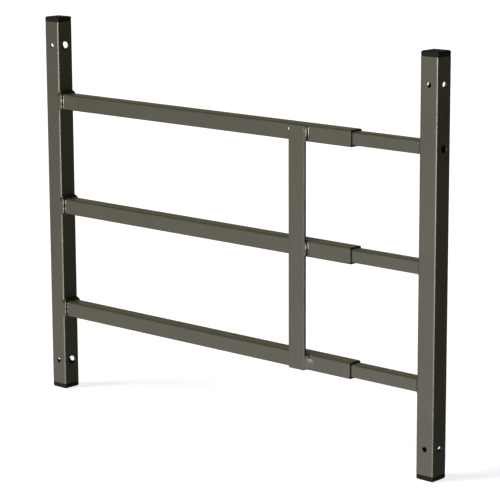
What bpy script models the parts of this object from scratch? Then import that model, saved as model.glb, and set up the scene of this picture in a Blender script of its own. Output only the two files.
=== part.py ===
"""Telescoping three-bar window security bar.

Two welded frames slide into each other. The left frame carries the wide tubes and
the flat brace, and the right frame carries the narrow tubes that run inside them.
+X is the guard's width, +Z is up and -Y is the side with the brace, which meets the
window frame when the guard is fixed to its face. The origin is the middle of the
base, with the frames slid to the resting width.
"""

import math

import bmesh
import bpy
from mathutils import Matrix, Vector

MM = 0.001
GAP = 0.3 * MM

# The guard as a whole
POST_SPACING = 493 * MM
GUARD_HEIGHT = 395 * MM
BAR_NAMES = ("bottom", "middle", "top")
BAR_PITCH = 110 * MM

# Posts and their end caps
POST_WIDTH = 20 * MM
POST_WALL = 1.4 * MM
POST_CORNER = 2 * MM
CAP_HEIGHT = 5 * MM
CAP_EDGE = 1.8 * MM
PLUG_DEPTH = 12 * MM
PLUG_WALL = 1.5 * MM
BARB_HEIGHT = 0.8 * MM

# Holes in the posts
SCREW_HOLE_FROM_END = 30 * MM
SCREW_HOLE = 5.9 * MM
REAR_ACCESS = 9 * MM
SIDE_ACCESS = {"left": 10 * MM, "right": SCREW_HOLE}
HANGING_HOLE = 8.5 * MM

# Telescoping tubes
OUTER_TUBE = 16 * MM
OUTER_WALL = 1.2 * MM
OUTER_CORNER = 1.8 * MM
OUTER_LENGTH = 391.8 * MM
INNER_TUBE = 12.7 * MM
INNER_WALL = 1.2 * MM
INNER_CORNER = 1.5 * MM
INNER_LENGTH = 380 * MM

# Flat brace across the front of the wide tubes
BRACE_X = 91.6 * MM
BRACE_WIDTH = 20 * MM
BRACE_THICKNESS = 3 * MM
BRACE_HEIGHT = 235.5 * MM
BRACE_DROP = 0.5 * MM
BRACE_EDGE = 0.6 * MM

# Weld beads
POST_WELD_LENGTH = 5 * MM
POST_WELD_RISE = 3.4 * MM
POST_WELD_SETBACK = 0.2 * MM
BRACE_WELD_LEG = 3.2 * MM
BRACE_BLOB_LEG = 8 * MM
BRACE_WELD_LENGTH = 15 * MM

CORNER_STEPS = 4
HOLE_SIDES = 24
SMOOTH_BELOW = math.radians(30)

ALONG_X = Matrix.Rotation(math.radians(90), 4, "Y")
ALONG_Y = Matrix.Rotation(math.radians(90), 4, "X")

POWDER_COAT = ((0.135, 0.125, 0.105), 0.42, 0.35)
CAP_PLASTIC = ((0.022, 0.022, 0.018), 0.5, 0.0)
WELD_COAT = ((0.15, 0.14, 0.12), 0.36, 0.35)


def material(name, finish):
    colour, roughness, metallic = finish
    made = bpy.data.materials.new(name)
    made.use_nodes = True
    shader = made.node_tree.nodes["Principled BSDF"]
    shader.inputs["Base Color"].default_value = (*colour, 1)
    shader.inputs["Roughness"].default_value = roughness
    shader.inputs["Metallic"].default_value = metallic
    return made


def empty(name, location):
    made = bpy.data.objects.new(name, None)
    made.location = location
    bpy.context.collection.objects.link(made)
    return made


def add_object(name, bm, finish, parent, location, rotation=(0, 0, 0)):
    """Turns a bmesh into an object; its location is in the parent's own axes."""
    bmesh.ops.recalc_face_normals(bm, faces=bm.faces)
    mesh = bpy.data.meshes.new(name)
    bm.to_mesh(mesh)
    bm.free()
    mesh.shade_smooth()
    mesh.set_sharp_from_angle(angle=SMOOTH_BELOW)
    mesh.materials.append(material(name, finish))
    made = bpy.data.objects.new(name, mesh)
    made.parent = parent
    made.location = location
    made.rotation_euler = rotation
    bpy.context.collection.objects.link(made)
    return made


def rounded_rectangle(width, depth, corner, height):
    """A ring of points about the Z axis, anticlockwise, with arcs at the corners."""
    ring = []
    for quarter, (sign_x, sign_y) in enumerate(((1, 1), (-1, 1), (-1, -1), (1, -1))):
        centre = Vector((sign_x * (width / 2 - corner), sign_y * (depth / 2 - corner), height))
        for step in range(CORNER_STEPS + 1):
            angle = math.radians(90) * (quarter + step / CORNER_STEPS)
            ring.append(centre + corner * Vector((math.cos(angle), math.sin(angle), 0)))
    return ring


def loft(rings, closed_loop):
    """Skins rings of equal length; the ends are joined to each other or capped."""
    bm = bmesh.new()
    rows = [[bm.verts.new(point) for point in ring] for ring in rings]
    pairs = list(zip(rows, rows[1:]))
    if closed_loop:
        pairs.append((rows[-1], rows[0]))
    else:
        bm.faces.new(rows[0])
        bm.faces.new(rows[-1])
    for low, high in pairs:
        for index in range(len(low)):
            following = (index + 1) % len(low)
            bm.faces.new((low[index], low[following], high[following], high[index]))
    return bm


def square_tube(width, wall, corner, start, end):
    """A square tube along Z, open at both ends."""
    bore = width - 2 * wall
    bore_corner = max(corner - wall, GAP)
    return loft([
        rounded_rectangle(width, width, corner, start),
        rounded_rectangle(width, width, corner, end),
        rounded_rectangle(bore, bore, bore_corner, end),
        rounded_rectangle(bore, bore, bore_corner, start),
    ], closed_loop=True)


def drill(post, name, centre, turn, diameter, depth):
    """Bores a round hole in a post; the centre is in the post's own axes."""
    bm = bmesh.new()
    bmesh.ops.create_cone(
        bm, cap_ends=True, segments=HOLE_SIDES,
        radius1=diameter / 2, radius2=diameter / 2, depth=depth, matrix=turn,
    )
    cutter = add_object(name, bm, POWDER_COAT, post, centre)
    cutter.hide_render = True
    cutter.display_type = "WIRE"
    cut = post.modifiers.new(name, "BOOLEAN")
    cut.operation = "DIFFERENCE"
    cut.solver = "EXACT"
    cut.object = cutter


def make_post(side_name, outward, frame):
    """A square post; outward is -1 or +1 along X.

    Near each end, screws go out through the front wall or the outer wall. A wider hole in
    the rear wall, and in the left post's inner wall, lets the screw's head and the driver
    in. The right post's inner wall has a hole of the screw's own size, so a long screw goes
    through both side walls there.
    """
    half_length = GUARD_HEIGHT / 2 - CAP_HEIGHT
    bm = square_tube(POST_WIDTH, POST_WALL, POST_CORNER, -half_length, half_length)
    post = add_object(f"{side_name}_post", bm, POWDER_COAT, frame, (0, 0, 0))
    wall_middle = (POST_WIDTH - POST_WALL) / 2
    depth = 2 * POST_WALL
    for end_name, up in (("lower", -1), ("upper", 1)):
        height = up * (GUARD_HEIGHT / 2 - SCREW_HOLE_FROM_END)
        label = f"{side_name}_{end_name}"
        drill(post, f"{label}_front_hole", (0, -wall_middle, height),
              ALONG_Y, SCREW_HOLE, depth)
        drill(post, f"{label}_rear_access", (0, wall_middle, height),
              ALONG_Y, REAR_ACCESS, depth)
        drill(post, f"{label}_outer_hole", (outward * wall_middle, 0, height),
              ALONG_X, SCREW_HOLE, depth)
        drill(post, f"{label}_inner_access", (-outward * wall_middle, 0, height),
              ALONG_X, SIDE_ACCESS[side_name], depth)
    drill(post, f"{side_name}_hanging_hole", (outward * wall_middle, 0, BAR_PITCH),
          ALONG_X, HANGING_HOLE, depth)


def cap_rings():
    """The end cap's skin from the floor of its hollow, round the plug, to its crown."""
    bore = POST_WIDTH - 2 * POST_WALL
    barb = bore - 2 * GAP
    plug = barb - 2 * BARB_HEIGHT
    hollow = plug - 2 * PLUG_WALL
    plug_corner = 1 * MM
    rings = [
        rounded_rectangle(hollow, hollow, plug_corner, -PLUG_WALL),
        rounded_rectangle(hollow, hollow, plug_corner, -PLUG_DEPTH),
        rounded_rectangle(plug, plug, plug_corner, -PLUG_DEPTH),
    ]
    for fraction in (0.75, 0.35):
        tip = -PLUG_DEPTH * fraction
        rings.append(rounded_rectangle(plug, plug, plug_corner, tip - BARB_HEIGHT))
        rings.append(rounded_rectangle(barb, barb, plug_corner, tip))
        rings.append(rounded_rectangle(plug, plug, plug_corner, tip + BARB_HEIGHT))
    rings.append(rounded_rectangle(plug, plug, plug_corner, GAP))
    rings.append(rounded_rectangle(POST_WIDTH, POST_WIDTH, POST_CORNER, GAP))
    crown_start = CAP_HEIGHT - CAP_EDGE
    for step in range(CORNER_STEPS + 1):
        angle = math.radians(90) * step / CORNER_STEPS
        inset = CAP_EDGE * (1 - math.cos(angle))
        height = crown_start + CAP_EDGE * math.sin(angle)
        width = POST_WIDTH - 2 * inset
        rings.append(rounded_rectangle(width, width, POST_CORNER, height))
    return rings


def make_caps(side_name, frame):
    post_end = GUARD_HEIGHT / 2 - CAP_HEIGHT
    for end_name, up in (("bottom", -1), ("top", 1)):
        turn = (0, 0, 0) if up > 0 else (math.pi, 0, 0)
        add_object(f"{side_name}_{end_name}_cap", loft(cap_rings(), closed_loop=False),
                   CAP_PLASTIC, frame, (0, 0, up * post_end), turn)


def post_weld(bar_width, corner):
    """A fillet ring about Z round a square bar; the post's face is the plane Z = 0."""
    rise_up = POST_WELD_RISE - GAP
    rise_out = (POST_WIDTH - bar_width) / 2 - POST_WELD_SETBACK - GAP
    section = ((0, 0), (0, 1), (0.45, 0.6), (1, 0.1), (1, 0))
    rings = []
    for along, share in section:
        distance = GAP + along * (POST_WELD_LENGTH - GAP)
        offset_up = GAP + share * rise_up
        offset_out = GAP + share * rise_out
        rings.append(rounded_rectangle(
            bar_width + 2 * offset_up, bar_width + 2 * offset_out,
            corner + offset_out, distance,
        ))
    return loft(rings, closed_loop=True)


def make_bar(kind, bar_name, height, width, wall, corner, length, inward, frame):
    """A square tube welded to the inner face of its post; inward is -1 or +1 along X."""
    face = inward * POST_WIDTH / 2
    turn = (0, math.radians(90) * inward, 0)
    add_object(f"{kind}_tube_{bar_name}", square_tube(width, wall, corner, GAP, length),
               POWDER_COAT, frame, (face, 0, height), turn)
    add_object(f"{kind}_weld_{bar_name}", post_weld(width, corner),
               WELD_COAT, frame, (face, 0, height), turn)


def make_brace(frame):
    """The flat bar on the front of the wide tubes; the frame's origin is its post."""
    bm = bmesh.new()
    bmesh.ops.create_cube(bm, size=1)
    bmesh.ops.scale(bm, verts=bm.verts, vec=(BRACE_WIDTH, BRACE_THICKNESS, BRACE_HEIGHT))
    centre_x = BRACE_X + POST_SPACING / 2
    centre_y = -(OUTER_TUBE / 2 + GAP + BRACE_THICKNESS / 2)
    brace = add_object("brace_bar", bm, POWDER_COAT, frame, (centre_x, centre_y, -BRACE_DROP))
    rounding = brace.modifiers.new("edge_rounding", "BEVEL")
    rounding.width = BRACE_EDGE
    rounding.segments = 3


def brace_weld(leg, side):
    """A fillet along Z between the brace's edge and a tube's front, on one side of X = 0."""
    crest = 0.85 * BRACE_THICKNESS
    section = ((GAP, GAP), (leg, GAP), (0.75 * leg, 0.3 * crest),
               (0.4 * leg, 0.72 * crest), (GAP, crest))
    half = BRACE_WELD_LENGTH / 2
    stations = ((-half, 0.55), (-0.8 * half, 1), (0.8 * half, 1), (half, 0.55))
    rings = []
    for height, swell in stations:
        rings.append([
            Vector((side * (GAP + (x - GAP) * swell), -(GAP + (y - GAP) * swell), height))
            for x, y in section
        ])
    return loft(rings, closed_loop=False)


def make_brace_welds(frame):
    for index, bar_name in enumerate(BAR_NAMES):
        height = (index - 1) * BAR_PITCH
        for side_name, side in (("left", -1), ("right", 1)):
            large = bar_name == "bottom" and side > 0
            leg = BRACE_BLOB_LEG if large else BRACE_WELD_LEG
            edge_x = BRACE_X + POST_SPACING / 2 + side * BRACE_WIDTH / 2
            add_object(f"brace_weld_{bar_name}_{side_name}", brace_weld(leg, side),
                       WELD_COAT, frame, (edge_x, -OUTER_TUBE / 2, height))


def make_frame(side_name, outward, kind, width, wall, corner, length):
    """One welded frame; its empty is at the post's middle, on the middle bar's axis."""
    frame = empty(f"{side_name}_frame", (outward * POST_SPACING / 2, 0, GUARD_HEIGHT / 2))
    make_post(side_name, outward, frame)
    make_caps(side_name, frame)
    for index, bar_name in enumerate(BAR_NAMES):
        height = (index - 1) * BAR_PITCH
        make_bar(kind, bar_name, height, width, wall, corner, length, -outward, frame)
    return frame


for old in list(bpy.data.objects):
    bpy.data.objects.remove(old)

left_frame = make_frame("left", -1, "outer", OUTER_TUBE, OUTER_WALL, OUTER_CORNER, OUTER_LENGTH)
make_brace(left_frame)
make_brace_welds(left_frame)
make_frame("right", 1, "inner", INNER_TUBE, INNER_WALL, INNER_CORNER, INNER_LENGTH)
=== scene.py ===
"""Looks of the telescoping window security bar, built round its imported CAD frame.

Every CAD node is replaced by a finer mesh in the same place: tubes and posts with
softened cut edges, drilled holes with rolled rims, moulded end caps and weld beads
that run into the metal around them. Lengths are in metres and made from MM.
"""

import math

import bmesh
import bpy
from mathutils import Matrix, Vector, noise


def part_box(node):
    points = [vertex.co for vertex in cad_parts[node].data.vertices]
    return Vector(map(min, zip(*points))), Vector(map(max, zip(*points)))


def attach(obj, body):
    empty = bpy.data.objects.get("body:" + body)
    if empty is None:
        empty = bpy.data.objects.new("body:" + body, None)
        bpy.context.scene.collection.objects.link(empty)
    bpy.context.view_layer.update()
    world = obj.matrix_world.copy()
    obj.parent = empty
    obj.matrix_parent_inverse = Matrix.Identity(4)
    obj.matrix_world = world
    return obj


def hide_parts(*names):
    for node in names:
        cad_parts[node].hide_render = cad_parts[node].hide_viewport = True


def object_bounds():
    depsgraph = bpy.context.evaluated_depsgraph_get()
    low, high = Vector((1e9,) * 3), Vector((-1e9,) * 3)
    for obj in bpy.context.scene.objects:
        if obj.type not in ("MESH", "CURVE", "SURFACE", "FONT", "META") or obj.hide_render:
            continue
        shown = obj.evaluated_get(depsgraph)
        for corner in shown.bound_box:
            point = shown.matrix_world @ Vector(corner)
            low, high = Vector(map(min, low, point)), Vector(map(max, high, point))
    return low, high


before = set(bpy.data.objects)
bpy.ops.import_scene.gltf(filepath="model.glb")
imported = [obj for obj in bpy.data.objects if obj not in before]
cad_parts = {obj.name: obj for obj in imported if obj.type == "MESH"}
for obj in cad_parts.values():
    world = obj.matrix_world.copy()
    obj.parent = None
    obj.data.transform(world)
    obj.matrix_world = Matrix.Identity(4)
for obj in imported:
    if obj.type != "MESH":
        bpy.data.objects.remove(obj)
cad_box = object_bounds()

MM = 0.001
BAR_NAMES = ("bottom", "middle", "top")
SIDES = (("left", -1), ("right", 1))

# Metal sections
POST_WALL = 1.4 * MM
POST_CORNER = 2 * MM
POST_LIP = 0.3 * MM
TUBES = {
    "outer": {"wall": 1.2 * MM, "corner": 1.8 * MM, "lip": 0.22 * MM},
    "inner": {"wall": 1.2 * MM, "corner": 1.5 * MM, "lip": 0.2 * MM},
}
BRACE_CORNER = 1.4 * MM
BRACE_EDGE = 0.6 * MM
LEAST_CORNER = 0.05 * MM
CORNER_STEPS = 8
LIP_STEPS = 3
BRACE_EDGE_STEPS = 5
# Edges that turn by more degrees than this are shaded as sharp
SHARP_TURN = 40

# Holes in the posts
SCREW_HOLE_FROM_END = 30 * MM
SCREW_HOLE = 5.9 * MM
REAR_ACCESS = 9 * MM
SIDE_ACCESS = {"left": 10 * MM, "right": SCREW_HOLE}
HANGING_HOLE = 8.5 * MM
HOLE_RIM_SHARE = 0.055
INNER_RIM = 0.1 * MM
RIM_STEPS = 4
HOLE_SIDES = 48
CUTTER_PROUD = 0.02 * MM
CUTTER_CLEAR = 0.6 * MM

# End caps
CAP_EDGE = 2 * MM
CAP_EDGE_STEPS = 8
CAP_SEAM = 0.15 * MM
CAP_GAP = 0.3 * MM
PLUG_DEPTH = 12 * MM
PLUG_WALL = 1.5 * MM
PLUG_CORNER = 1 * MM
BARB_HEIGHT = 0.8 * MM
BARB_PLACES = (0.75, 0.35)

# Weld beads. They reach into the metal by EMBED, so that no seam shows.
EMBED = 0.3 * MM
BEAD_STEP = 0.5 * MM
BEAD_ROWS = 7
BEAD_STATIONS = 32
BEAD_LAP = 0.2 * MM
LAP_SLOPE = 42
LEAST_SHRINK = 0.02
# How uneven the beads are, over what distance, and where each seed's noise starts
WIDE_WOBBLE = 0.05
NARROW_WOBBLE = 0.15
POST_WOBBLE_SIZE = 4 * MM
LUMP_SIZE = 2.5 * MM
BRACE_WOBBLE = 0.06
BRACE_WOBBLE_SIZE = 3 * MM
SEED_SHIFT = (7.3, 3.1)
# A brace bead's ends round off by END_POWER, and keep these shares of its width and rise
END_POWER = 2.5
END_WIDTH = 0.25
END_WIDTH_POWER = 0.5
END_RISE = 0.3
END_RISE_POWER = 0.2

# The photograph's view; angles in degrees, lens and sensor in millimetres
CAMERA = {
    "target": (0.0218, 0, 0.1843), "distance": 2.112,
    "azimuth": 42.65, "elevation": 11.53, "roll": -0.253,
    "lens": 156.47, "sensor": 36, "far": 60,
}


# ---------------------------------------------------------------- materials

# Noise scales, in features per metre, and the depths of the skins
CLOUD_SCALE = 22
PIGMENT_SCALE = 2600
GLOSS_SCALE = 90
COAT_SPREAD = 0.04
PEEL_SCALE = 620
PEEL_DEPTH = 0.05 * MM
DUST_SCALE = 2400
DUST_DEPTH = 0.012 * MM
FLOW_SCALE = 140
SCUFF_SCALE = 260
PLASTIC_SPREAD = 0.06
MATTE_SCALE = 3200
MATTE_DEPTH = 0.02 * MM
FLOOR_SCALE = 1.2


def node_material(name):
    """A new material and its Principled shader."""
    made = bpy.data.materials.new(name)
    made.use_nodes = True
    return made, made.node_tree.nodes["Principled BSDF"]


def add_noise(tree, scale, detail):
    """Noise in the piece's own space, so that it rides with the metal; scale is per metre."""
    places = tree.nodes.new("ShaderNodeTexCoord")
    grain = tree.nodes.new("ShaderNodeTexNoise")
    grain.inputs["Scale"].default_value = scale
    grain.inputs["Detail"].default_value = detail
    tree.links.new(places.outputs["Object"], grain.inputs["Vector"])
    return grain.outputs["Fac"]


def add_ramp(tree, source, stops):
    """A colour ramp over source; stops are (position, colour), at least two of them."""
    ramp = tree.nodes.new("ShaderNodeValToRGB")
    elements = ramp.color_ramp.elements
    for index, (position, colour) in enumerate(stops):
        element = elements[index] if index < 2 else elements.new(position)
        element.position = position
        element.color = (*colour, 1)
    tree.links.new(source, ramp.inputs["Fac"])
    return ramp.outputs["Color"]


def add_range(tree, source, low, high):
    """Stretches the middle of a noise over low to high."""
    spread = tree.nodes.new("ShaderNodeMapRange")
    spread.inputs["From Min"].default_value = 0.3
    spread.inputs["From Max"].default_value = 0.7
    spread.inputs["To Min"].default_value = low
    spread.inputs["To Max"].default_value = high
    tree.links.new(source, spread.inputs["Value"])
    return spread.outputs["Result"]


def add_bump(tree, height, distance, strength, below=None):
    bump = tree.nodes.new("ShaderNodeBump")
    bump.inputs["Distance"].default_value = distance
    bump.inputs["Strength"].default_value = strength
    tree.links.new(height, bump.inputs["Height"])
    if below is not None:
        tree.links.new(below, bump.inputs["Normal"])
    return bump.outputs["Normal"]


def tinted(colour, share):
    return tuple(channel * share for channel in colour)


def multiply_colours(tree, first, second):
    mix = tree.nodes.new("ShaderNodeMix")
    mix.data_type = "RGBA"
    mix.blend_type = "MULTIPLY"
    mix.inputs["Factor"].default_value = 1
    tree.links.new(first, mix.inputs["A"])
    tree.links.new(second, mix.inputs["B"])
    return mix.outputs["Result"]


def painted_metal(name, colour, roughness, peel):
    """Bronze-grey powder coat: slow cloudiness, fine pigment grain and an orange-peel skin."""
    made, shader = node_material(name)
    tree = made.node_tree
    cloud = add_ramp(tree, add_noise(tree, CLOUD_SCALE, 3), (
        (0.32, tinted(colour, 0.93)), (0.68, tinted(colour, 1.07)),
    ))
    grain = add_ramp(tree, add_noise(tree, PIGMENT_SCALE, 2), (
        (0.36, (0.8, 0.8, 0.8)), (0.5, (1, 1, 1)), (0.66, (1.16, 1.14, 1.1)),
    ))
    tree.links.new(multiply_colours(tree, cloud, grain), shader.inputs["Base Color"])
    gloss = add_noise(tree, GLOSS_SCALE, 3)
    gloss = add_range(tree, gloss, roughness - COAT_SPREAD, roughness + COAT_SPREAD)
    tree.links.new(gloss, shader.inputs["Roughness"])
    skin = add_bump(tree, add_noise(tree, PEEL_SCALE, 2), PEEL_DEPTH, peel)
    skin = add_bump(tree, add_noise(tree, DUST_SCALE, 2), DUST_DEPTH, peel, skin)
    tree.links.new(skin, shader.inputs["Normal"])
    shader.inputs["Metallic"].default_value = 0.25
    shader.inputs["Specular IOR Level"].default_value = 0.6
    return made


def moulded_plastic(name, colour, roughness):
    """Dark nylon with a faintly uneven, fine matte skin."""
    made, shader = node_material(name)
    tree = made.node_tree
    cloud = add_ramp(tree, add_noise(tree, FLOW_SCALE, 3), (
        (0.3, tinted(colour, 0.82)), (0.7, tinted(colour, 1.18)),
    ))
    tree.links.new(cloud, shader.inputs["Base Color"])
    gloss = add_noise(tree, SCUFF_SCALE, 2)
    gloss = add_range(tree, gloss, roughness - PLASTIC_SPREAD, roughness + PLASTIC_SPREAD)
    tree.links.new(gloss, shader.inputs["Roughness"])
    skin = add_bump(tree, add_noise(tree, MATTE_SCALE, 3), MATTE_DEPTH, 0.5)
    tree.links.new(skin, shader.inputs["Normal"])
    shader.inputs["Specular IOR Level"].default_value = 0.08
    return made


def floor_paper(name):
    """Pale paper with a glow of its own, so that only soft shadows show on it."""
    made, shader = node_material(name)
    tree = made.node_tree
    tone = add_ramp(tree, add_noise(tree, FLOOR_SCALE, 2), (
        (0.3, (0.19, 0.19, 0.188)), (0.7, (0.21, 0.21, 0.208)),
    ))
    tree.links.new(tone, shader.inputs["Base Color"])
    shader.inputs["Roughness"].default_value = 0.9
    shader.inputs["Specular IOR Level"].default_value = 0.1
    shader.inputs["Emission Color"].default_value = (1, 1, 1, 1)
    shader.inputs["Emission Strength"].default_value = 0.8
    return made


COATING = (0.0335, 0.0311, 0.0145)
MATERIALS = {
    "powder_coat": painted_metal("powder_coat", COATING, 0.36, 0.35),
    "weld_coat": painted_metal("weld_coat", tinted(COATING, 1.1), 0.2, 0.3),
    "cap_plastic": moulded_plastic("cap_plastic", (0.0052, 0.0052, 0.0034), 0.6),
}


# ---------------------------------------------------------------- mesh tools

def outline(width, depth, corner):
    """(point, outward normal) pairs round a rounded rectangle about Z, anticlockwise."""
    pairs = []
    for quarter, (sign_x, sign_y) in enumerate(((1, 1), (-1, 1), (-1, -1), (1, -1))):
        centre = Vector((sign_x * (width / 2 - corner), sign_y * (depth / 2 - corner), 0))
        for step in range(CORNER_STEPS + 1):
            angle = math.radians(90) * (quarter + step / CORNER_STEPS)
            normal = Vector((math.cos(angle), math.sin(angle), 0))
            pairs.append((centre + corner * normal, normal))
    return pairs


def ring(width, depth, corner, height, inset=0):
    """The outline's points at a height, drawn in by inset."""
    tight = max(corner - inset, LEAST_CORNER)
    lift = Vector((0, 0, height))
    return [point + lift for point, _ in outline(width - 2 * inset, depth - 2 * inset, tight)]


def loft(rings, closed_loop):
    """Skins rings of equal length; the ends are joined to each other or capped."""
    bm = bmesh.new()
    rows = [[bm.verts.new(point) for point in each] for each in rings]
    pairs = list(zip(rows, rows[1:]))
    if closed_loop:
        pairs.append((rows[-1], rows[0]))
    else:
        bm.faces.new(rows[0])
        bm.faces.new(rows[-1])
    for low, high in pairs:
        for index in range(len(low)):
            following = (index + 1) % len(low)
            bm.faces.new((low[index], low[following], high[following], high[index]))
    return bm


def quarter_round(steps=LIP_STEPS):
    """(sine, cosine) pairs from 0 to 90 degrees."""
    turns = [math.radians(90) * step / steps for step in range(steps + 1)]
    return [(math.sin(turn), math.cos(turn)) for turn in turns]


def add_mesh(name, bm, slot):
    """Makes an object of a bmesh, smooth except at its sharp edges."""
    bmesh.ops.recalc_face_normals(bm, faces=bm.faces)
    mesh = bpy.data.meshes.new(name)
    bm.to_mesh(mesh)
    bm.free()
    mesh.shade_smooth()
    mesh.set_sharp_from_angle(angle=math.radians(SHARP_TURN))
    mesh.materials.append(MATERIALS[slot])
    piece = bpy.data.objects.new(name, mesh)
    bpy.context.scene.collection.objects.link(piece)
    return piece


def add_piece(name, bm, slot, body, nodes):
    """Makes a piece of a bmesh, rides it on its body and lets it stand for CAD nodes."""
    piece = add_mesh(name, bm, slot)
    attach(piece, body)
    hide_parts(*nodes)
    return piece


def flatten_normals(piece):
    """Keeps broad flats flat where they meet small roundings."""
    weighted = piece.modifiers.new("flat_faces", "WEIGHTED_NORMAL")
    weighted.keep_sharp = True


# ---------------------------------------------------------------- posts and tubes

def square_tube(width, wall, corner, lip, start, end):
    """A square tube along Z, open at both ends, with its cut edges softened."""
    outer_start = [ring(width, width, corner, start + lip * (1 - cosine), lip * (1 - sine))
                   for sine, cosine in quarter_round()]
    outer_end = [ring(width, width, corner, end - lip * (1 - sine), lip * (1 - cosine))
                 for sine, cosine in quarter_round()]
    inner_end = [ring(width, width, corner, end - lip * (1 - cosine), wall - lip * (1 - sine))
                 for sine, cosine in quarter_round()]
    inner_start = [ring(width, width, corner, start + lip * (1 - sine), wall - lip * (1 - cosine))
                   for sine, cosine in quarter_round()]
    return loft(outer_start + outer_end + inner_end + inner_start, closed_loop=True)


def spool(diameter, wall):
    """A cutter along Z for a wall from 0 to wall. Its flared ends roll the hole's rims,
    more on the outside, where the punch went in and the diameter is measured."""
    outer_rim = HOLE_RIM_SHARE * diameter
    radius = diameter / 2 - outer_rim
    profile = []
    for rim in (outer_rim, INNER_RIM):
        half = [(radius + rim, -CUTTER_CLEAR)]
        half += [(radius + rim * (1 - sine), rim * (1 - cosine) - CUTTER_PROUD)
                 for sine, cosine in quarter_round(RIM_STEPS)]
        if rim == INNER_RIM:
            half = [(size, wall - depth) for size, depth in reversed(half)]
        profile += half
    turns = [2 * math.pi * side / HOLE_SIDES for side in range(HOLE_SIDES)]
    rings = [[Vector((size * math.cos(turn), size * math.sin(turn), depth)) for turn in turns]
             for size, depth in profile]
    return loft(rings, closed_loop=False)


def hole_cutter(centre, holes):
    """All the post's cutters as one mesh; a hole is (direction, height, diameter)."""
    joined = bmesh.new()
    half = POST_SIZE / 2
    for direction, height, diameter in holes:
        outward = Vector(direction)
        cutter = spool(diameter, POST_WALL)
        place = Vector((centre.x, centre.y, height)) + outward * half
        turn = (-outward).to_track_quat("Z", "Y").to_matrix().to_4x4()
        bmesh.ops.transform(cutter, matrix=Matrix.Translation(place) @ turn, verts=cutter.verts)
        scratch = bpy.data.meshes.new("scratch")
        cutter.to_mesh(scratch)
        cutter.free()
        joined.from_mesh(scratch)
        bpy.data.meshes.remove(scratch)
    return joined


def apply_boolean(piece, cutter):
    """Cuts the cutter out of the piece and removes the cutter."""
    cut = piece.modifiers.new("holes", "BOOLEAN")
    cut.operation = "DIFFERENCE"
    cut.solver = "EXACT"
    cut.object = cutter
    graph = bpy.context.evaluated_depsgraph_get()
    drilled = bpy.data.meshes.new_from_object(piece.evaluated_get(graph))
    piece.modifiers.clear()
    piece.data = drilled
    drilled.name = piece.name
    bpy.data.objects.remove(cutter)


def bar_height(bar_name):
    low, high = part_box(f"outer_tube_{bar_name}")
    return (low.z + high.z) / 2


def make_post(side_name, outward):
    """A drilled post: near each end, screw holes in the front and outer walls, and holes
    opposite them. Level with the top bar, a hanging hole in the outer wall."""
    low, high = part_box(f"{side_name}_post")
    centre = (low + high) / 2
    bm = square_tube(POST_SIZE, POST_WALL, POST_CORNER, POST_LIP, low.z, high.z)
    bmesh.ops.translate(bm, vec=(centre.x, centre.y, 0), verts=bm.verts)
    body = f"{side_name}_frame"
    piece = add_piece(f"{side_name}_post_tube", bm, "powder_coat", body, [f"{side_name}_post"])
    holes = [((outward, 0, 0), bar_height("top"), HANGING_HOLE)]
    for height in (SCREW_HOLE_FROM_END, GUARD_HEIGHT - SCREW_HOLE_FROM_END):
        holes.append(((0, -1, 0), height, SCREW_HOLE))
        holes.append(((0, 1, 0), height, REAR_ACCESS))
        holes.append(((outward, 0, 0), height, SCREW_HOLE))
        holes.append(((-outward, 0, 0), height, SIDE_ACCESS[side_name]))
    cutter = add_mesh("cutter", hole_cutter(centre, holes), "powder_coat")
    apply_boolean(piece, cutter)
    flatten_normals(piece)


def make_bar_tube(kind, bar_name, side_name, outward):
    """A tube from its post's inner face to its free end, along X."""
    node = f"{kind}_tube_{bar_name}"
    low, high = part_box(node)
    sizes = TUBES[kind]
    width = high.z - low.z
    length = high.x - low.x + 2 * EMBED
    bm = square_tube(width, sizes["wall"], sizes["corner"], sizes["lip"], 0, length)
    root = Vector((high.x + 2 * EMBED if outward > 0 else low.x - 2 * EMBED,
                   (low.y + high.y) / 2, (low.z + high.z) / 2))
    turn = Matrix.Rotation(math.radians(-90 * outward), 4, "Y")
    bmesh.ops.transform(bm, matrix=Matrix.Translation(root) @ turn, verts=bm.verts)
    piece = add_piece(f"{kind}_bar_{bar_name}", bm, "powder_coat", f"{side_name}_frame", [node])
    flatten_normals(piece)


def make_brace():
    """The flat bar, its long edges rounded and its four corners dulled."""
    low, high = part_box("brace_bar")
    centre = (low + high) / 2
    size = high - low
    rings = []
    edges = [(BRACE_EDGE * (1 - sine), BRACE_EDGE * (1 - cosine))
             for sine, cosine in quarter_round(BRACE_EDGE_STEPS)]
    for inset, depth in edges:
        rings.append(ring(size.x, size.z, BRACE_CORNER, depth, inset))
    for inset, depth in reversed(edges):
        rings.append(ring(size.x, size.z, BRACE_CORNER, size.y - depth, inset))
    bm = loft(rings, closed_loop=False)
    place = Matrix.Translation((centre.x, high.y, centre.z))
    turn = Matrix.Rotation(math.radians(90), 4, "X")
    bmesh.ops.transform(bm, matrix=place @ turn, verts=bm.verts)
    piece = add_piece("brace_flat", bm, "powder_coat", "left_frame", ["brace_bar"])
    flatten_normals(piece)


# ---------------------------------------------------------------- end caps

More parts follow.
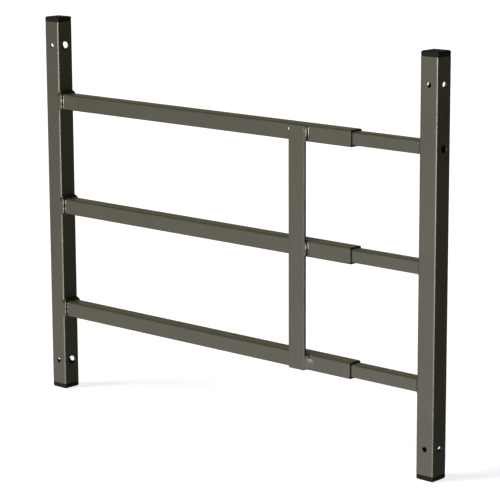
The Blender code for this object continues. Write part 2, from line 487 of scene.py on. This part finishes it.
def cap_skin(height):
    """A cap along Z: hollow plug with two barbs below 0, and a rounded head up to height."""
    bore = POST_SIZE - 2 * POST_WALL
    barb = bore - 2 * CAP_GAP
    plug = barb - 2 * BARB_HEIGHT
    hollow = plug - 2 * PLUG_WALL
    rings = [
        ring(hollow, hollow, PLUG_CORNER, -PLUG_WALL),
        ring(hollow, hollow, PLUG_CORNER, -PLUG_DEPTH),
        ring(plug, plug, PLUG_CORNER, -PLUG_DEPTH),
    ]
    for share in BARB_PLACES:
        tip = -PLUG_DEPTH * share
        rings.append(ring(plug, plug, PLUG_CORNER, tip - BARB_HEIGHT))
        rings.append(ring(barb, barb, PLUG_CORNER, tip))
        rings.append(ring(plug, plug, PLUG_CORNER, tip + BARB_HEIGHT))
    rings.append(ring(plug, plug, PLUG_CORNER, CAP_GAP))
    for sine, cosine in quarter_round():
        rings.append(ring(POST_SIZE, POST_SIZE, POST_CORNER,
                          CAP_GAP + CAP_SEAM * (1 - cosine), CAP_SEAM * (1 - sine)))
    for sine, cosine in quarter_round(CAP_EDGE_STEPS):
        rings.append(ring(POST_SIZE, POST_SIZE, POST_CORNER,
                          height - CAP_EDGE * (1 - sine), CAP_EDGE * (1 - cosine)))
    return loft(rings, closed_loop=False)


def make_cap(side_name, end_name, up):
    """A cap on a post's end; up is 1 at the top and -1 at the bottom."""
    node = f"{side_name}_{end_name}_cap"
    low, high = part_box(node)
    post_low, post_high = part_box(f"{side_name}_post")
    centre = (low + high) / 2
    post_end = post_high.z if up > 0 else post_low.z
    head = high.z - post_end if up > 0 else post_end - low.z
    bm = cap_skin(head)
    turn = Matrix.Rotation(0 if up > 0 else math.pi, 4, "X")
    place = Matrix.Translation((centre.x, centre.y, post_end))
    bmesh.ops.transform(bm, matrix=place @ turn, verts=bm.verts)
    piece = add_piece(f"{side_name}_{end_name}_plug", bm, "cap_plastic",
                      f"{side_name}_frame", [node])
    flatten_normals(piece)


# ---------------------------------------------------------------- weld beads

def bead_section(root, rise, reach, crest, toe, steep, lap=BEAD_LAP):
    """(along, out) points across a bead: it slopes up over lap from -root to its rise, runs
    level to a rounded crest, falls at steep degrees and goes through a hollow toe to
    (reach, 0). Crest and toe are radii, which shrink together where the bead is too low or
    short for them."""
    turn = math.radians(steep)
    drop = (crest + toe) * (1 - math.cos(turn))
    spread = (crest + toe) * math.tan(turn / 2)
    shrink = min(1, rise / drop, (reach - rise / math.tan(turn)) / spread)
    shrink = max(shrink, LEAST_SHRINK)
    crest, toe = crest * shrink, toe * shrink
    side = max(rise - drop * shrink, 0) / math.sin(turn)
    start = reach - (crest + toe) * math.sin(turn) - side * math.cos(turn)
    angles = [turn * row / BEAD_ROWS for row in range(BEAD_ROWS + 1)]
    points = [(-root, rise - lap * math.tan(math.radians(LAP_SLOPE))), (lap - root, rise)]
    points += [(start + crest * math.sin(angle), rise - crest * (1 - math.cos(angle)))
               for angle in angles]
    points += [(reach - toe * math.sin(angle), toe * (1 - math.cos(angle)))
               for angle in reversed(angles)]
    return points


def unevenness(place, seed, size):
    """A smooth wobble of about -1 to 1 over the bead."""
    along, across = SEED_SHIFT
    return noise.noise(place / size + Vector((seed * along, seed * across, 0)))


def blend_sides(normal, sides):
    """Bead values for a direction, from those on the front, top, back and bottom."""
    shares = (max(0, -normal.x) ** 2, max(0, normal.y) ** 2,
              max(0, normal.x) ** 2, max(0, -normal.y) ** 2)
    return [sum(share * side[index] for share, side in zip(shares, sides))
            for index in range(len(sides[0]))]


def fine_outline(width, corner):
    """The bar's outline with its flats split into short steps."""
    pairs = outline(width, width, corner)
    fine = []
    for index, (point, normal) in enumerate(pairs):
        following, _ = pairs[(index + 1) % len(pairs)]
        fine.append((point, normal))
        count = int((following - point).length // BEAD_STEP)
        for step in range(1, count):
            fine.append((point.lerp(following, step / count), normal))
    return fine


def make_post_weld(kind, bar_name, side_name, outward, sides, wobble, seed):
    """A bead all round a bar where it meets the post's inner face."""
    tube_low, tube_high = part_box(f"{kind}_tube_{bar_name}")
    post_low, post_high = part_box(f"{side_name}_post")
    face = post_low.x if outward > 0 else post_high.x
    centre = (tube_low + tube_high) / 2
    columns = []
    for point, normal in fine_outline(tube_high.z - tube_low.z, TUBES[kind]["corner"]):
        root, rise, reach, crest, toe, steep = blend_sides(normal, sides)
        swell = 1 + wobble * unevenness(point, seed, POST_WOBBLE_SIZE)
        section = bead_section(root, rise, reach * swell, crest, toe, steep)
        section += [(reach * swell, -EMBED), (-root, -EMBED)]
        column = []
        for along, out in section:
            place = point + Vector((0, 0, along))
            lump = 1 + wobble / 2 * unevenness(place, seed + 1, LUMP_SIZE)
            spot = point + normal * (out * lump if 0 < along else out)
            column.append(Vector((face - outward * along, spot.x, centre.z + spot.y)))
        columns.append(column)
    bm = loft(columns, closed_loop=True)
    piece = add_piece(f"{kind}_bead_{bar_name}", bm, "weld_coat", f"{side_name}_frame",
                      [f"{kind}_weld_{bar_name}"])
    flatten_normals(piece)


def make_brace_weld(bar_name, side_name, side, low_share, high_share, profile, seed):
    """A bead between the brace's edge and a tube's front, over a stretch of the tube's height.
    It gets narrower and lower towards its ends."""
    brace_low, brace_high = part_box("brace_bar")
    tube_low, tube_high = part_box(f"outer_tube_{bar_name}")
    edge = brace_high.x if side > 0 else brace_low.x
    front = tube_low.y
    half = (tube_high.z - tube_low.z) / 2
    middle = (tube_high.z + tube_low.z) / 2
    root, rise, reach, crest, toe, steep, lap = profile
    rings = []
    for station in range(BEAD_STATIONS + 1):
        share = station / BEAD_STATIONS
        height = middle + half * (low_share + (high_share - low_share) * share)
        rounding = 1 - abs(2 * share - 1) ** END_POWER
        swell = END_WIDTH + (1 - END_WIDTH) * rounding ** END_WIDTH_POWER
        wobble = unevenness(Vector((0, 0, height)), seed, BRACE_WOBBLE_SIZE)
        swell *= 1 + BRACE_WOBBLE * wobble
        lift = END_RISE + (1 - END_RISE) * rounding ** END_RISE_POWER
        section = bead_section(root * swell, rise * lift, reach * swell, crest, toe, steep, lap)
        section += [(reach * swell, -EMBED), (-root * swell, -EMBED)]
        rings.append([Vector((edge + side * along, front - out, height))
                      for along, out in section])
    bm = loft(rings, closed_loop=False)
    piece = add_piece(f"brace_bead_{bar_name}_{side_name}", bm, "weld_coat", "left_frame",
                      [f"brace_weld_{bar_name}_{side_name}"])
    flatten_normals(piece)


# Bead values (root, rise, reach, crest, toe, steep) on a bar's front, top, back and bottom.
WIDE_BEAD = (
    (2.2 * MM, 3.0 * MM, 5.4 * MM, 1.3 * MM, 1.5 * MM, 82),
    (EMBED, 3.3 * MM, 4.2 * MM, 0.6 * MM, 2.5 * MM, 56),
    (2.2 * MM, 2.2 * MM, 5.3 * MM, 1.0 * MM, 1.0 * MM, 78),
    (EMBED, 1.0 * MM, 1.8 * MM, 0.3 * MM, 1.0 * MM, 50),
)
NARROW_BEAD = (
    (EMBED, 2.6 * MM, 3.0 * MM, 0.6 * MM, 1.6 * MM, 55),
    (EMBED, 2.4 * MM, 3.2 * MM, 0.6 * MM, 1.6 * MM, 52),
    (EMBED, 2.6 * MM, 3.0 * MM, 0.6 * MM, 1.6 * MM, 55),
    (EMBED, 1.4 * MM, 1.8 * MM, 0.3 * MM, 1.0 * MM, 50),
)
# Each bead's low and high end, as shares of the tube's half height, and its profile:
# (root, rise, reach, crest, toe, steep, lap)
BRACE_BEADS = {
    "top_left": (-0.1, 0.72, (1.4 * MM, 3.75 * MM, 2.8 * MM, 1.5 * MM, 1.6 * MM, 75, 0.9 * MM)),
    "top_right": (-0.95, 0.95, (EMBED, 2.85 * MM, 3.4 * MM, 1.0 * MM, 1.2 * MM, 78, BEAD_LAP)),
    "middle_left": (-0.9, -0.4, (EMBED, 1.6 * MM, 1.6 * MM, 0.5 * MM, 0.9 * MM, 65, BEAD_LAP)),
    "middle_right": (-0.95, 0.9, (EMBED, 2.85 * MM, 3.2 * MM, 0.9 * MM, 1.2 * MM, 78, BEAD_LAP)),
    "bottom_left": (-0.1, 0.5, (EMBED, 2.2 * MM, 1.8 * MM, 0.6 * MM, 0.9 * MM, 70, BEAD_LAP)),
    "bottom_right": (-0.95, 0.9, (EMBED, 2.9 * MM, 9.0 * MM, 1.5 * MM, 1.5 * MM, 30, BEAD_LAP)),
}


# ---------------------------------------------------------------- assembly

POST_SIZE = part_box("left_post")[1].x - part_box("left_post")[0].x
GUARD_HEIGHT = cad_box[1].z - cad_box[0].z

for side_name, outward in SIDES:
    make_post(side_name, outward)
    make_cap(side_name, "bottom", -1)
    make_cap(side_name, "top", 1)
for index, bar_name in enumerate(BAR_NAMES):
    make_bar_tube("outer", bar_name, "left", -1)
    make_post_weld("outer", bar_name, "left", -1, WIDE_BEAD, WIDE_WOBBLE, index)
    make_bar_tube("inner", bar_name, "right", 1)
    make_post_weld("inner", bar_name, "right", 1, NARROW_BEAD, NARROW_WOBBLE, index + 5)
make_brace()
for index, (joint, values) in enumerate(BRACE_BEADS.items()):
    bar_name, side_name = joint.split("_")
    side = 1 if side_name == "right" else -1
    make_brace_weld(bar_name, side_name, side, *values, seed=index + 11)


# ---------------------------------------------------------------- floor, light and camera

COOL = (0.97, 0.93, 1.1)
WARM = (1, 0.95, 0.78)
NEUTRAL = (1, 1, 0.97)
AMBIENT = 0.04
# Panels: azimuth, elevation, full half-width and faded half-width in degrees, brightness, tint
PANELS = (
    (-10, -34, 8, 56, 2.75, COOL),
    (-138, 12, 20, 60, 0.2, WARM),
    (195, -35, 12, 34, 0.9, COOL),
    (112, -8, 10, 36, 0.12, WARM),
    (38, 3, 8, 20, 34, NEUTRAL),
    (-5, 28, 6, 16, 16, COOL),
)
# Suns: name, azimuth, elevation, strength and angle of spread in degrees
SUNS = (("key", -38, 38, 7.6, 26), ("back_fill", -165, 12, 3.0, 40))
FLOOR_HALF = 20


def direction(azimuth, elevation):
    """From the object towards a place; azimuth 0 is the front and 90 is the right."""
    turn = math.radians(azimuth)
    rise = math.radians(elevation)
    level = math.cos(rise)
    return Vector((math.sin(turn) * level, -math.cos(turn) * level, math.sin(rise)))


def make_floor():
    """A wide pale floor under the feet. Gloss doesn't mirror it."""
    bm = bmesh.new()
    bmesh.ops.create_grid(bm, x_segments=1, y_segments=1, size=FLOOR_HALF)
    mesh = bpy.data.meshes.new("floor")
    bm.to_mesh(mesh)
    bm.free()
    mesh.materials.append(floor_paper("floor_paper"))
    floor = bpy.data.objects.new("floor", mesh)
    floor.location.z = cad_box[0].z
    bpy.context.scene.collection.objects.link(floor)
    floor.visible_glossy = False


def add_sun(name, azimuth, elevation, strength, angle):
    """A soft sun that lights the paint but doesn't show in its gloss."""
    light = bpy.data.lights.new(name, "SUN")
    light.energy = strength
    light.angle = math.radians(angle)
    made = bpy.data.objects.new(name, light)
    made.rotation_mode = "QUATERNION"
    made.rotation_quaternion = direction(azimuth, elevation).to_track_quat("Z", "Y")
    made.visible_glossy = False
    bpy.context.scene.collection.objects.link(made)


def make_world(ambient, panels):
    """White to the camera. Reflections alone see a dim room with soft bright panels."""
    world = bpy.data.worlds.new("studio")
    world.use_nodes = True
    tree = world.node_tree
    heading = tree.nodes.new("ShaderNodeTexCoord").outputs["Generated"]
    total = None
    for azimuth, elevation, full, faded, brightness, tint in panels:
        aim = tree.nodes.new("ShaderNodeVectorMath")
        aim.operation = "DOT_PRODUCT"
        aim.inputs[1].default_value = direction(azimuth, elevation)
        tree.links.new(heading, aim.inputs[0])
        fade = tree.nodes.new("ShaderNodeMapRange")
        fade.interpolation_type = "SMOOTHSTEP"
        fade.inputs["From Min"].default_value = math.cos(math.radians(faded))
        fade.inputs["From Max"].default_value = math.cos(math.radians(full))
        fade.inputs["To Max"].default_value = brightness
        tree.links.new(aim.outputs["Value"], fade.inputs["Value"])
        add = tree.nodes.new("ShaderNodeVectorMath")
        add.operation = "MULTIPLY_ADD"
        tree.links.new(fade.outputs["Result"], add.inputs[0])
        add.inputs[1].default_value = tint
        add.inputs[2].default_value = (ambient, ambient, ambient)
        if total is not None:
            tree.links.new(total, add.inputs[2])
        total = add.outputs["Vector"]
    room = tree.nodes["Background"]
    tree.links.new(total, room.inputs["Color"])
    backdrop = tree.nodes.new("ShaderNodeBackground")
    backdrop.inputs["Color"].default_value = (1, 1, 1, 1)
    rays = tree.nodes.new("ShaderNodeLightPath")
    choice = tree.nodes.new("ShaderNodeMixShader")
    tree.links.new(rays.outputs["Is Camera Ray"], choice.inputs["Fac"])
    tree.links.new(room.outputs["Background"], choice.inputs[1])
    tree.links.new(backdrop.outputs["Background"], choice.inputs[2])
    tree.links.new(choice.outputs["Shader"], tree.nodes["World Output"].inputs["Surface"])
    world.cycles_visibility.diffuse = False
    bpy.context.scene.world = world


def make_camera():
    """A camera that looks at the target from its azimuth and elevation, with a little roll."""
    data = bpy.data.cameras.new("camera")
    data.lens = CAMERA["lens"]
    data.sensor_width = CAMERA["sensor"]
    data.clip_end = CAMERA["far"]
    camera = bpy.data.objects.new("camera", data)
    back = direction(CAMERA["azimuth"], CAMERA["elevation"])
    camera.location = Vector(CAMERA["target"]) + CAMERA["distance"] * back
    roll = Matrix.Rotation(math.radians(CAMERA["roll"]), 3, "Z").to_quaternion()
    camera.rotation_mode = "QUATERNION"
    camera.rotation_quaternion = back.to_track_quat("Z", "Y") @ roll
    bpy.context.scene.collection.objects.link(camera)
    bpy.context.scene.camera = camera


make_floor()
make_world(AMBIENT, PANELS)
for sun in SUNS:
    add_sun(*sun)
make_camera()
bpy.context.scene.view_settings.view_transform = "Standard"
